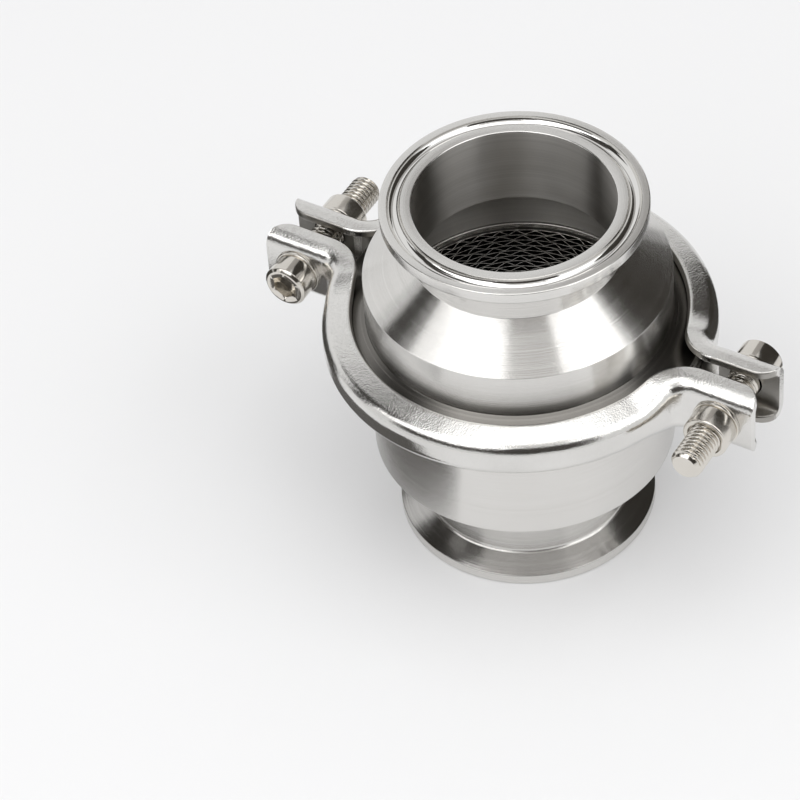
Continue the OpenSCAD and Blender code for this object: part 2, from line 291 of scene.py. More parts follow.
def turned_steel(name, dark, light, rough, grain, marks):
    made, tree, shader, place = surface(name, grain)
    rings = lathe_marks(tree, place)
    fine = noise(tree, rings, scale=3.2, detail=3.0, rough=0.65)
    broad = noise(tree, rings, scale=0.8, detail=3.0, rough=0.6)
    smudge = noise(tree, place, scale=55.0, detail=4.0, rough=0.55)
    turned = mixed(tree, broad, fine, 0.5)
    shade = swing(tree, mixed(tree, turned, smudge, 0.75), 0.0, 1.0)
    dress(tree, shader, tint(tree, shade, dark, light), swing(tree, mixed(tree, turned, smudge, 0.6), *rough),
          bump(tree, turned, strength=marks, depth=0.00008))
    round_grain(tree, shader)
    return made


def mesh_value(tree, name):
    made = tree.nodes.new("ShaderNodeAttribute")
    made.attribute_name = name
    return made.outputs["Fac"]


def pressed_steel():
    """Sheet that is bright on its bends and webs, matt where the roll's finish is left, and rougher inside its
    channel, where its darker colour is painted shade.
    """
    made, tree, shader, place = surface("pressed_clamp_steel")
    matt, inside = mesh_value(tree, "matt"), mesh_value(tree, "inside")
    peel = noise(tree, place, scale=2550.0, detail=1.6, rough=0.6)
    wave = noise(tree, place, scale=85.0)
    smudge = noise(tree, place, scale=40.0, detail=4.0)
    speckle = times(tree, minus(tree, peel, 0.5), scaled(tree, matt, 0.45, 0.3))
    shade = plus(tree, smudge, speckle)
    outer = tint(tree, spread(tree, shade, 0.25, 0.75, 0.0, 1.0), (0.64, 0.63, 0.61), (0.79, 0.78, 0.76))
    # Painted shade: faces inside the channel get this darker colour in place of the shade that falls in the
    # channel
    scale = tint(tree, shade, (0.27, 0.26, 0.24), (0.42, 0.405, 0.38))
    bright = swing(tree, smudge, 0.10, 0.18)
    roughness = scaled(tree, matt, 0.07, scaled(tree, inside, 0.18, bright))
    soft = bump(tree, wave, strength=0.5, depth=0.0005)
    grain = times(tree, peel, scaled(tree, matt, 0.5, 0.6))
    dress(tree, shader, tint(tree, inside, outer, scale), roughness,
          bump(tree, grain, strength=0.8, depth=0.000085, before=soft))
    return made


def fastener_steel(name, smooth, dull):
    made, tree, shader, place = surface(name)
    scuff = noise(tree, place, scale=320.0, detail=4.0, rough=0.6)
    broad = noise(tree, place, scale=70.0)
    dress(tree, shader, tint(tree, broad, (0.62, 0.59, 0.54), (0.75, 0.72, 0.67)),
          swing(tree, scuff, smooth, dull), bump(tree, scuff, strength=0.12, depth=0.00005))
    return made


def ribbon_steel():
    made, tree, shader, place = surface("rolled_ribbon_steel")
    streak = noise(tree, stretched(tree, place, (1, 1, 0.08)), scale=420.0, detail=3.0)
    broad = noise(tree, place, scale=120.0)
    dress(tree, shader, tint(tree, broad, (0.30, 0.28, 0.26), (0.50, 0.48, 0.45)),
          swing(tree, streak, 0.12, 0.24), bump(tree, streak, strength=0.15, depth=0.00003))
    return made


def sheared_edge():
    """Cut edge of a ribbon, broken up into bright and dull specks."""
    made, tree, shader, place = surface("sheared_ribbon_edge")
    spark = noise(tree, place, scale=900.0, rough=0.6)
    speck = spread(tree, spark, 0.42, 0.58, 0.0, 1.0)
    dress(tree, shader, tint(tree, speck, (0.48, 0.46, 0.43), (0.98, 0.96, 0.93)),
          spread(tree, spark, 0.42, 0.58, 0.7, 0.4), bump(tree, spark, strength=0.9, depth=0.0003))
    return made


def seal_rubber():
    made, tree, shader, place = surface("moulded_seal", metallic=0.0)
    grain = noise(tree, place, scale=1500.0)
    cloud = noise(tree, place, scale=60.0)
    dress(tree, shader, tint(tree, cloud, (0.80, 0.79, 0.75), (0.88, 0.87, 0.83)),
          swing(tree, grain, 0.45, 0.6), bump(tree, grain, strength=0.1, depth=0.00005))
    return made


BARREL_STEEL = turned_steel("turned_barrel_steel", (0.68, 0.665, 0.64), (0.82, 0.81, 0.79),
                            rough=(0.16, 0.25), grain=1.0, marks=0.55)
FACE_STEEL = turned_steel("faced_port_steel", (0.68, 0.67, 0.65), (0.77, 0.76, 0.74),
                          rough=(0.16, 0.26), grain=0.75, marks=0.15)
BORE_STEEL = turned_steel("bored_steel", (0.44, 0.425, 0.40), (0.58, 0.565, 0.54),
                          rough=(0.34, 0.42), grain=1.0, marks=0.10)
# Painted shade: the flange taper between the barrel and the clamp's lip gets a near-black colour in place of the
# shade in the crevice there
JOINT_SHADE_STEEL = turned_steel("joint_taper_painted_shade", (0.14, 0.133, 0.122), (0.24, 0.23, 0.215),
                           rough=(0.2, 0.3), grain=0.6, marks=0.25)
# Painted shade: the taper under each port's rim is darker than the barrel, in place of the shaded floor it would
# mirror
PORT_SHADE_STEEL = turned_steel("port_taper_painted_shade", (0.43, 0.42, 0.405), (0.55, 0.54, 0.525),
                                rough=(0.11, 0.18), grain=0.8, marks=0.3)
GROOVE_STEEL = turned_steel("burnished_groove_steel", (0.76, 0.75, 0.73), (0.82, 0.81, 0.79),
                            rough=(0.06, 0.12), grain=0.3, marks=0.08)
SLEEVE_STEEL = turned_steel("rolled_sleeve_steel", (0.55, 0.53, 0.50), (0.70, 0.68, 0.65),
                            rough=(0.22, 0.36), grain=0.5, marks=0.2)
CLAMP_STEEL = pressed_steel()
SCREW_STEEL = fastener_steel("bright_screw_steel", smooth=0.08, dull=0.17)
NUT_STEEL = fastener_steel("turned_nut_steel", smooth=0.15, dull=0.26)
RIBBON_STEEL = ribbon_steel()
RIBBON_EDGE = sheared_edge()
SEAL_WHITE = seal_rubber()


# Mesh builders

NEARLY_HALF = 0.49
SMOOTH_ANGLE = 32.0
TURN_SEGMENTS = 192
MAP_PER_MM = 0.005


def take_mesh(bm, name):
    mesh = bpy.data.meshes.new(name)
    bm.to_mesh(mesh)
    bm.free()
    return mesh


def finish_mesh(mesh, angle=SMOOTH_ANGLE):
    mesh.validate()
    mesh.polygons.foreach_set("use_smooth", [True] * len(mesh.polygons))
    mesh.set_sharp_from_angle(angle=math.radians(angle))
    mesh.update()


def place_piece(name, mesh, cad_node):
    piece = bpy.data.objects.new(name, mesh)
    scene.collection.objects.link(piece)
    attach(piece, "root")
    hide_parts(cad_node)
    return piece


def rounded(corners, steps=3):
    """Turns corners of (radius, height, fillet) into points of (radius, height, corner), fillets cut as arcs."""
    out = []
    count = len(corners)
    for i, (r, z, fillet) in enumerate(corners):
        here = Vector((r, z))
        if fillet <= 0:
            out.append((r, z, i))
            continue
        before = Vector(corners[i - 1][:2]) - here
        after = Vector(corners[(i + 1) % count][:2]) - here
        if before.length < TINY or after.length < TINY:
            out.append((r, z, i))
            continue
        half = before.angle(after) / 2
        reach = min(fillet / math.tan(half), before.length * NEARLY_HALF, after.length * NEARLY_HALF)
        radius = reach * math.tan(half)
        middle = (before.normalized() + after.normalized()).normalized()
        centre = here + middle * (radius / math.sin(half))
        start = here + before.normalized() * reach - centre
        end = here + after.normalized() * reach - centre
        first = math.atan2(start.y, start.x)
        turn = (math.atan2(end.y, end.x) - first + math.pi) % (2 * math.pi) - math.pi
        for k in range(steps + 1):
            a = first + turn * k / steps
            out.append((centre.x + radius * math.cos(a), centre.y + radius * math.sin(a), i))
    return out


def hex_share(angle):
    """Radius of a hexagon with flats at distance 1, in a direction."""
    return 1.0 / math.cos((angle + math.pi / 6) % (math.pi / 3) - math.pi / 6)


def turned_mesh(name, outline, materials, slots=None, segments=TURN_SEGMENTS, closed=True, hexed=(), place=None):
    """Turns an outline of (radius, height, corner) round the axis. hexed lists the corners that are
    hexagonal, and slots gives the material of the band after a corner."""
    slots = slots or {}
    bm = bmesh.new()
    uv = bm.loops.layers.uv.new("turning")
    rings = []
    for r, z, corner in outline:
        ring = []
        for k in range(segments):
            a = 2 * math.pi * k / segments
            reach = r * (hex_share(a) if corner in hexed else 1.0)
            spot = Vector((reach * math.cos(a), reach * math.sin(a), z)) * MM
            ring.append(bm.verts.new(place @ spot if place else spot))
            if r < ON_AXIS:
                break
        rings.append(ring)
    run = 0.0
    count = len(outline)
    for i in range(count if closed else count - 1):
        j = (i + 1) % count
        step = math.hypot(outline[j][0] - outline[i][0], outline[j][1] - outline[i][1])
        low, high = rings[i], rings[j]
        for k in range(segments):
            n = (k + 1) % segments
            if len(low) == 1 and len(high) == 1:
                break
            if len(low) == 1:
                verts, maps = (low[0], high[n], high[k]), ((k + 0.5, 0), (k + 1, 1), (k, 1))
            elif len(high) == 1:
                verts, maps = (low[k], low[n], high[0]), ((k, 0), (k + 1, 0), (k + 0.5, 1))
            else:
                verts = (low[k], low[n], high[n], high[k])
                maps = ((k, 0), (k + 1, 0), (k + 1, 1), (k, 1))
            face = bm.faces.new(verts)
            face.material_index = slots.get(outline[i][2], 0)
            for loop, (u, v) in zip(face.loops, maps):
                loop[uv].uv = (u / segments, (run + v * step) * MAP_PER_MM)
        run += step
    bmesh.ops.recalc_face_normals(bm, faces=bm.faces)
    mesh = take_mesh(bm, name)
    for material in materials:
        mesh.materials.append(material)
    finish_mesh(mesh)
    return mesh


# Housings and the seal between them

# Places of the finishes in the list of steels, with the painted shade of the two tapers; what has none of them
# keeps the barrel's, the first
FACE, GROOVE, BORE, TAPER, PORT_TAPER = range(1, 6)
HOUSING_STEELS = [BARREL_STEEL, FACE_STEEL, GROOVE_STEEL, BORE_STEEL, JOINT_SHADE_STEEL, PORT_SHADE_STEEL]
GROOVE_STEPS = 14
BEAD_STEPS = 12


def groove_corners(middle, face_z, up):
    """Points of a half-round groove in a face, from its outer edge to its inner one."""
    drop = GROOVE_R - GROOVE_DEPTH
    start = math.asin(drop / GROOVE_R)
    out = []
    for k in range(GROOVE_STEPS + 1):
        a = start + (math.pi - 2 * start) * k / GROOVE_STEPS
        out.append((middle + GROOVE_R * math.cos(a), face_z + up * (drop - GROOVE_R * math.sin(a)), 0.0))
    return out


def housing_corners(neck_len, body_len, seat_depth):
    """Outline of a housing with its port face at height 0, and the corners where each finish or painted-shade
    taper begins.
    """
    taper_top = PORT_RIM + PORT_TAPER_H
    cone_base = taper_top + neck_len
    barrel_base = cone_base + CONE_LEN
    barrel_top = barrel_base + body_len
    rim_base = barrel_top + FLANGE_TAPER_H
    top = rim_base + FLANGE_RIM
    floor_z = barrel_base - CHAMBER_RISE
    port_rim = (PORT_R, PORT_RIM, RIM_FILLET)
    barrel_end = (BODY_R, barrel_top, BARREL_FILLET)
    port = [(PORT_R, 0, EDGE)]
    outside = [
        port_rim, (NECK_R, taper_top, NECK_FILLET), (NECK_R, cone_base, CONE_FILLET),
        (BODY_R, barrel_base, SHOULDER_FILLET), barrel_end, (FLANGE_R, rim_base, FLANGE_EDGE_R),
        (FLANGE_R, top, EDGE),
    ]
    inside = [
        (SEAT_R, top, SEAT_EDGE), (SEAT_R, top - seat_depth, SEAT_CORNER),
        (CHAMBER_R, top - seat_depth, SEAT_EDGE), (CHAMBER_R, floor_z, FLOOR_CORNER),
        (BORE_R, floor_z, BORE_FILLET), (BORE_R, 0, EDGE),
    ]
    joint_groove = groove_corners(FLANGE_GROOVE_R, top, 1)
    port_groove = groove_corners(PORT_GROOVE_R, 0, -1)[::-1]
    corners = port + outside + joint_groove + inside + port_groove
    last = len(corners) - 1
    joint_start = len(port) + len(outside)
    joint_end = joint_start + len(joint_groove) - 1
    port_start = len(corners) - len(port_groove)
    # The taper under the port's rim and the taper after the barrel take the painted-shade steels
    finish = {corners.index(port_rim): PORT_TAPER, corners.index(barrel_end): TAPER}
    for i in (*range(joint_start, joint_end), *range(port_start, last)):
        finish[i] = GROOVE
    for i in range(port_start - len(inside), port_start - 1):
        finish[i] = BORE
    for i in (joint_start - 1, joint_end, port_start - 1, last):
        finish[i] = FACE
    return corners, finish


def make_housing(name, neck_len, body_len, seat_depth, flip):
    corners, finish = housing_corners(neck_len, body_len, seat_depth)
    outline = rounded(corners, 4)
    if flip:
        outline = [(r, TOTAL_H - z, corner) for r, z, corner in outline]
    mesh = turned_mesh(name, outline, HOUSING_STEELS, finish, segments=256)
    return place_piece(name, mesh, name.replace("_turned", ""))


make_housing("lower_housing_turned", LOWER_NECK, LOWER_BODY, LOWER_SEAT, False)
make_housing("upper_housing_turned", UPPER_NECK, UPPER_BODY, UPPER_SEAT, True)


def make_gasket():
    inner, outer = SEAT_R + ELEMENT_FIT, FLANGE_R - GASKET_INSET
    top = GASKET_T / 2
    bead = GROOVE_R - ELEMENT_FIT
    middle = top - GROOVE_R + GROOVE_DEPTH - ELEMENT_FIT
    lean = math.asin((top - middle) / bead)
    side = []
    for k in range(BEAD_STEPS + 1):
        a = lean + (math.pi - 2 * lean) * k / BEAD_STEPS
        side.append((FLANGE_GROOVE_R + bead * math.cos(a), middle + bead * math.sin(a), 0.0))
    corners = [(inner, -top, GASKET_LIP)] + [(r, -z, fillet) for r, z, fillet in side[::-1]]
    corners += [(outer, -top, GASKET_EDGE), (outer, top, GASKET_EDGE)] + side + [(inner, top, GASKET_LIP)]
    outline = [(r, z + JOINT_Z, corner) for r, z, corner in rounded(corners, 3)]
    mesh = turned_mesh("body_gasket_ring", outline, [SEAL_WHITE], segments=160)
    return place_piece("body_gasket_ring", mesh, "body_gasket")


make_gasket()


# Clamp halves: the pressed C section swept from ear to ear

TIP_STEPS, EAR_STEPS, TURN_STEPS, RING_STEPS = 10, 6, 20, 64
BEND_Y = EAR_FACE + EAR_BEND
BEND_X = math.sqrt((RING_R + EAR_BEND) ** 2 - BEND_Y ** 2)
RING_START = math.atan2(BEND_Y, BEND_X)
RING_SPAN = math.pi / 2 - RING_START
BEND_RUN = EAR_BEND * RING_SPAN
MORPH_BACK = RING_R * MORPH_ANGLE


def ease(t):
    t = min(1.0, max(0.0, t))
    return t * t * (3 - 2 * t)


def ear_share(run):
    """Share of ear form at a distance past the ring's end."""
    return ease((run + MORPH_BACK) / (MORPH_BACK + BEND_RUN + MORPH_RUN))


def clamp_stations():
    """Place on the outer face, direction to the lips, share of ear form and width lost to the tip's corner."""
    right = []
    corner_x = EAR_END - EAR_CORNER
    for k in range(TIP_STEPS + 1):
        a = math.pi / 2 * k / TIP_STEPS
        x = corner_x + EAR_CORNER * math.cos(a)
        right.append((x, EAR_FACE, 0.0, -1.0, 1.0, EAR_CORNER * (1 - math.sin(a))))
    for k in range(1, EAR_STEPS + 1):
        x = corner_x + (BEND_X - corner_x) * k / EAR_STEPS
        right.append((x, EAR_FACE, 0.0, -1.0, ear_share(BEND_RUN + x - BEND_X), 0.0))
    for k in range(1, TURN_STEPS + 1):
        t = k / TURN_STEPS
        a = 1.5 * math.pi - RING_SPAN * t
        x, y = BEND_X + EAR_BEND * math.cos(a), BEND_Y + EAR_BEND * math.sin(a)
        right.append((x, y, math.cos(a), math.sin(a), ear_share(BEND_RUN * (1 - t)), 0.0))
    for k in range(1, RING_STEPS):
        a = RING_START + RING_SPAN * k / RING_STEPS
        right.append((RING_R * math.cos(a), RING_R * math.sin(a), -math.cos(a), -math.sin(a),
                      ear_share((RING_START - a) * RING_R), 0.0))
    middle = [(0.0, RING_R, 0.0, -1.0, 0.0, 0.0)]
    left = [(-x, y, -nx, ny, share, lost) for x, y, nx, ny, share, lost in reversed(right)]
    return right + middle + left


BEND_STEPS = 12
LIP_KEEP = 0.6
LIP_SOFT = 0.55
ROLL_BACK, ROLL_DROP = 1.0, 0.45
LIP_ANGLES = [math.pi / 2 * t for t in (0.0, 0.2, 0.4, 0.6, 0.8, 1.0)]


def section_loop(share, lost):
    """C section as (inward, up) points, with its sheared lips softened."""
    slope = SLOPE * (1 - share)
    width = CLAMP_RING_W + (EAR_W - CLAMP_RING_W) * share
    lip = LIP_Z + (EAR_H / 2 - LIP_Z) * share
    bend_z = lip - (width - CLAMP_BEND) * math.tan(slope) - CLAMP_BEND / math.cos(slope)
    end = width - lost
    flat = max(0.0, end - CLAMP_BEND * (1 - math.sin(slope))) / math.cos(slope)
    last = math.pi / 2 - slope
    if flat == 0.0:
        last = math.acos(1 - end / CLAMP_BEND)

    def on_bend(b):
        return CLAMP_BEND * (1 - math.cos(b)), bend_z + CLAMP_BEND * math.sin(b), -math.cos(b), math.sin(b)

    def on_lip(back, drop):
        return d - nz * back - nx * drop, z + nx * back - nz * drop

    first = last - max(0.0, LIP_KEEP - flat) / (CLAMP_BEND - CLAMP_T)
    outer = [on_bend(first * (1 - k / BEND_STEPS)) for k in range(BEND_STEPS + 1)]
    d, z, nx, nz = on_bend(last)
    d, z = d + flat * nz, z - flat * nx
    roll_back = ROLL_BACK + (LIP_SOFT - ROLL_BACK) * share
    roll_drop = ROLL_DROP + (LIP_SOFT - ROLL_DROP) * share
    top_lip = [on_lip(roll_back * (1 - math.sin(a)), roll_drop * (1 - math.cos(a))) for a in LIP_ANGLES]
    under_lip = [on_lip(LIP_SOFT * (1 - math.sin(a)), CLAMP_T - LIP_SOFT * (1 - math.cos(a)))
                 for a in reversed(LIP_ANGLES)]
    outside = [(p[0], p[1]) for p in outer]
    inside = [(p[0] - CLAMP_T * p[2], p[1] - CLAMP_T * p[3]) for p in outer]
    upper = inside[::-1] + under_lip[::-1] + top_lip[::-1] + outside
    lower = [(p, -q) for p, q in reversed(upper)]
    return upper + lower


def clamp_mesh(name, half_turn):
    bm = bmesh.new()
    rows = []
    for x, y, nx, ny, share, lost in clamp_stations():
        loop = section_loop(share, lost)
        rows.append([bm.verts.new(Vector((x + nx * d, y + ny * d, z + JOINT_Z)) * MM) for d, z in loop])
    count = len(rows[0])
    for low, high in zip(rows, rows[1:]):
        for k in range(count):
            n = (k + 1) % count
            bm.faces.new((low[k], low[n], high[n], high[k]))
    half = count // 2
    for row in (rows[0], rows[-1]):
        for base in (0, half):
            far = base + half - 1
            for k in range(half // 2 - 1):
                bm.faces.new((row[base + k], row[base + k + 1], row[far - 1 - k], row[far - k]))
        bm.faces.new((row[0], row[half - 1], row[half], row[count - 1]))
    bmesh.ops.remove_doubles(bm, verts=bm.verts, dist=WELD)
    bmesh.ops.recalc_face_normals(bm, faces=bm.faces)
    if half_turn:
        bmesh.ops.rotate(bm, verts=bm.verts, cent=(0, 0, 0), matrix=Matrix.Rotation(math.pi, 3, "Z"))
    return take_mesh(bm, name)


DRILL_LEN = 0.019
DRILL_SEGMENTS = 48


def drill(mesh, name):
    """Cuts the two screw holes through the ears."""
    blank = bpy.data.objects.new(name + "_blank", mesh)
    scene.collection.objects.link(blank)
    cutters = []
    for side in (-1, 1):
        bm = bmesh.new()
        at = Matrix.Translation((side * SCREW_X * MM, 0, JOINT_Z * MM)) @ Matrix.Rotation(math.pi / 2, 4, "X")
        bmesh.ops.create_cone(bm, cap_ends=True, segments=DRILL_SEGMENTS, radius1=HOLE_R * MM,
                              radius2=HOLE_R * MM, depth=DRILL_LEN, matrix=at)
        tool = bpy.data.objects.new(name + "_drill", take_mesh(bm, name + "_drill"))
        scene.collection.objects.link(tool)
        cutters.append(tool)
        cut = blank.modifiers.new("hole", "BOOLEAN")
        cut.operation = "DIFFERENCE"
        cut.solver = "EXACT"
        cut.object = tool
    drilled = bpy.data.meshes.new_from_object(blank.evaluated_get(bpy.context.evaluated_depsgraph_get()))
    for thing in [blank] + cutters:
        bpy.data.objects.remove(thing)
    drilled.name = name
    return drilled


MATT_FROM, MATT_OVER = 0.82, 0.12
INSIDE_FROM, INSIDE_OVER = 0.3, 0.4
WEB_WEIGHT = 1.2


def faces_in(spot, normal):
    """How far a face of the clamp looks into its channel."""
    if abs(spot.x) > BEND_X:
        outward = Vector((0, math.copysign(1.0, spot.y), 0))
    else:
        outward = Vector((spot.x, spot.y, 0)).normalized()
    lip = -normal.z * math.copysign(1.0, spot.z - JOINT_Z)
    return ease((max(lip, -normal.dot(outward) * WEB_WEIGHT) - INSIDE_FROM) / INSIDE_OVER)


def make_clamp_half(cad_node, half_turn):
    name = cad_node + "_pressing"
    pressing = drill(clamp_mesh(name, half_turn), name)
    pressing.materials.clear()
    pressing.materials.append(CLAMP_STEEL)
    finish_mesh(pressing, angle=40.0)
    matt = pressing.attributes.new("matt", "FLOAT", "POINT")
    matt.data.foreach_set("value", [ease((abs(v.normal.z) - MATT_FROM) / MATT_OVER) for v in pressing.vertices])
    # inside marks the faces in the channel, which take the clamp's painted shade
    inside = pressing.attributes.new("inside", "FLOAT", "FACE")
    inside.data.foreach_set("value", [faces_in(face.center / MM, face.normal) for face in pressing.polygons])
    place_piece(name, pressing, cad_node)


make_clamp_half("clamp_half_rear", False)
make_clamp_half("clamp_half_front", True)


# Node trees for what repeats: threads and wound ribbons

def new_tree(name, inputs):
    tree = bpy.data.node_groups.new(name, "GeometryNodeTree")
    sockets = {}
    for label, kind in inputs:
        made = tree.interface.new_socket(label, in_out="INPUT", socket_type="NodeSocket" + kind)
        sockets[label] = made.identifier
    tree.interface.new_socket("Geometry", in_out="OUTPUT", socket_type="NodeSocketGeometry")
    start = tree.nodes.new("NodeGroupInput")
    end = tree.nodes.new("NodeGroupOutput")
    return tree, sockets, start.outputs, end


def grow(tree, sockets, values, name):
    """Runs a tree with its sizes and returns the result as a plain mesh."""
    seed = bpy.data.objects.new(name, bpy.data.meshes.new(name + "_seed"))
    scene.collection.objects.link(seed)
    modifier = seed.modifiers.new("make", "NODES")
    modifier.node_group = tree
    for label, value in values.items():
        modifier[sockets[label]] = value
    mesh = bpy.data.meshes.new_from_object(seed.evaluated_get(bpy.context.evaluated_depsgraph_get()))
    seed.modifiers.remove(modifier)
    bpy.data.objects.remove(seed)
    mesh.name = name
    return mesh


def move_round(tree, geometry, radius, angle, height):
    """Moves the points of a geometry to places given round the axis."""
    spot = tree.nodes.new("ShaderNodeCombineXYZ")
    link(tree, times(tree, radius, math_node(tree, "COSINE", angle)), spot.inputs[0])
    link(tree, times(tree, radius, math_node(tree, "SINE", angle)), spot.inputs[1])
    link(tree, height, spot.inputs[2])
    moved = tree.nodes.new("GeometryNodeSetPosition")
    link(tree, geometry, moved.inputs["Geometry"])
    link(tree, spot.outputs[0], moved.inputs["Position"])
    return moved.outputs[0]


def end_tree(tree, geometry, material_socket, end):
    real = tree.nodes.new("GeometryNodeRealizeInstances")
    skin = tree.nodes.new("GeometryNodeSetMaterial")
    link(tree, geometry, real.inputs[0])
    link(tree, real.outputs[0], skin.inputs["Geometry"])
    link(tree, material_socket, skin.inputs["Material"])
    link(tree, skin.outputs[0], end.inputs[0])


THREAD_AROUND = 48
ROWS_PER_PITCH = 12
GRID_HALF = 0.5
ROOT_FLAT, CREST_START = 0.04, 0.44
RUNOUT_PITCHES = 1.5
TIP_DEPTHS = 1.25
TIP_SLOPE = 0.9


def thread_tree():
    """A rolled thread from its tip at height 0 up to a plain neck under the head."""
    tree, sockets, given, end = new_tree("rolled_thread", [
        ("Radius", "Float"), ("Depth", "Float"), ("Pitch", "Float"), ("Length", "Float"), ("Plain", "Float"),
        ("Rows", "Int"), ("Steel", "Material")])
    radius, depth, pitch, length = (given[key] for key in ("Radius", "Depth", "Pitch", "Length"))
    grid = tree.nodes.new("GeometryNodeMeshGrid")
    grid.inputs["Size X"].default_value = 2 * GRID_HALF
    grid.inputs["Size Y"].default_value = 2 * GRID_HALF
    grid.inputs["Vertices Y"].default_value = THREAD_AROUND + 1
    link(tree, given["Rows"], grid.inputs["Vertices X"])
    place = tree.nodes.new("ShaderNodeSeparateXYZ")
    link(tree, tree.nodes.new("GeometryNodeInputPosition").outputs[0], place.inputs[0])
    along = times(tree, plus(tree, place.outputs[0], GRID_HALF), length)
    turn = plus(tree, place.outputs[1], GRID_HALF)
    phase = minus(tree, over(tree, along, pitch), turn)
    shaped = tree.nodes.new("ShaderNodeMapRange")
    shaped.interpolation_type = "SMOOTHSTEP"
    link(tree, math_node(tree, "PINGPONG", phase, 0.5), shaped.inputs["Value"])
    shaped.inputs["From Min"].default_value = ROOT_FLAT
    shaped.inputs["From Max"].default_value = CREST_START
    cut = tree.nodes.new("ShaderNodeMapRange")
    link(tree, minus(tree, length, along), cut.inputs["Value"])
    link(tree, given["Plain"], cut.inputs["From Min"])
    link(tree, plus(tree, given["Plain"], times(tree, pitch, RUNOUT_PITCHES)), cut.inputs["From Max"])
    low = times(tree, times(tree, minus(tree, 1.0, shaped.outputs[0]), depth), cut.outputs[0])
    tip = minus(tree, radius, times(tree, depth, TIP_DEPTHS))
    tapered = math_node(tree, "MINIMUM", minus(tree, radius, low),
                        plus(tree, tip, times(tree, along, TIP_SLOPE)))
    moved = move_round(tree, grid.outputs["Mesh"], tapered, times(tree, turn, 2 * math.pi), along)
    welded = tree.nodes.new("GeometryNodeMergeByDistance")
    welded.inputs["Distance"].default_value = WELD
    link(tree, moved, welded.inputs["Geometry"])
    end_tree(tree, welded.outputs[0], given["Steel"], end)
    return tree, sockets


THREAD, THREAD_SOCKETS = thread_tree()


def threaded_piece(name, radius, thread, length, plain, head_outline, hexed, turn_to):
    """Thread grown from its tip, sewn to a turned head, and set in place."""
    pitch, depth = thread
    shank = grow(THREAD, THREAD_SOCKETS, {
        "Radius": radius * MM, "Depth": depth * MM, "Pitch": pitch * MM, "Length": length * MM,
        "Plain": plain * MM, "Rows": int(length / pitch * ROWS_PER_PITCH), "Steel": SCREW_STEEL}, name + "_shank")
    outline = [(r, z + length, corner) for r, z, corner in head_outline]
    head = turned_mesh(name + "_head", outline, [SCREW_STEEL], segments=THREAD_AROUND, closed=False, hexed=hexed)
    bm = bmesh.new()
    bm.from_mesh(shank)
    bm.from_mesh(head)
    tip = [e for e in bm.edges if e.is_boundary and all(v.co.z < TIP_LEVEL for v in e.verts)]
    bmesh.ops.contextual_create(bm, geom=tip)
    bmesh.ops.remove_doubles(bm, verts=bm.verts, dist=SEAM)
    bmesh.ops.recalc_face_normals(bm, faces=bm.faces)
    bmesh.ops.transform(bm, matrix=turn_to, verts=bm.verts)
    for face in bm.faces:
        face.material_index = 0
    mesh = take_mesh(bm, name)
    mesh.materials.append(SCREW_STEEL)
    finish_mesh(mesh, angle=38.0)
    return mesh


# Clamp screws, nuts and washers

SCREW_PLAIN = 4.0
CAP_CHAMFER, CAP_CHAMFER_H = 0.75, 0.7
SOCKET_MOUTH, SOCKET_MOUTH_H = 1.22, 0.35
SOCKET_POINT = 0.6
THREAD_BITE = 0.02
NUT_MOUTH, NUT_MOUTH_H = 0.55, 0.6
NUT_EXIT = 0.4


def socket_head():
    """Cap head from its seat on the shank to the floor of the socket, and its hexagonal corners."""
    flat = SOCKET_W / 2
    floor_z = HEAD_H - SOCKET_DEPTH
    corners = [
        (SCREW_R, 0, 0), (HEAD_R, 0, 0.2), (HEAD_R, HEAD_H - CAP_CHAMFER_H, 0.3),
        (HEAD_R - CAP_CHAMFER, HEAD_H, 0.25), (flat * SOCKET_MOUTH, HEAD_H, 0.0),
        (flat, HEAD_H - SOCKET_MOUTH_H, 0.0), (flat, floor_z, 0.0), (0, floor_z - SOCKET_POINT, 0.0),
    ]
    return rounded(corners, 5), (5, 6)


def at_screw(right):
    """Turns a piece made along +Z so that +Z points along a clamp screw, out of its head."""
    spin = Matrix.Identity(4) if right else Matrix.Rotation(math.pi, 4, "Z")
    return spin @ Matrix.Translation((SCREW_X * MM, 0, JOINT_Z * MM)) @ Matrix.Rotation(-math.pi / 2, 4, "X")


def lifted(z):
    return Matrix.Translation((0, 0, z * MM))


def washer_mesh(name, hole, outer, place):
    corners = [(hole, 0, 0.08), (outer, 0, 0.12), (outer, WASHER_T, 0.22), (hole, WASHER_T, 0.1)]
    return turned_mesh(name, rounded(corners, 3), [SCREW_STEEL], segments=96, place=place)


def nut_outline():
    bore = SCREW_R - THREAD_BITE
    corners = [
        (bore + NUT_MOUTH, 0, 0), (NUT_R, 0, 0.55), (NUT_R, NUT_H, 0.4), (bore + NUT_EXIT, NUT_H, 0),
        (bore, NUT_H - NUT_EXIT, 0), (bore, NUT_MOUTH_H, 0),
    ]
    return rounded(corners, 5)


def make_fasteners(side, right):
    seat = at_screw(right)
    cap, cap_hex = socket_head()
    screw = threaded_piece("clamp_screw_%s_threaded" % side, SCREW_R, SCREW_THREAD, SCREW_LEN, SCREW_PLAIN, cap,
                           cap_hex, seat @ lifted(HEAD_SEAT - SCREW_LEN))
    place_piece(screw.name, screw, "clamp_screw_" + side)
    nut = turned_mesh("clamp_nut_%s_round" % side, nut_outline(), [NUT_STEEL], segments=96,
                      place=seat @ lifted(-HEAD_SEAT - NUT_H))
    place_piece(nut.name, nut, "clamp_nut_" + side)
    for kind, height in (("screw", EAR_FACE), ("nut", -HEAD_SEAT)):
        ring = washer_mesh("%s_washer_%s_disc" % (kind, side), HOLE_R, WASHER_R, seat @ lifted(height))
        place_piece(ring.name, ring, "%s_washer_%s" % (kind, side))


make_fasteners("left", False)
make_fasteners("right", True)


# The element: core bolt and its stack, sleeve and the two wound ribbons

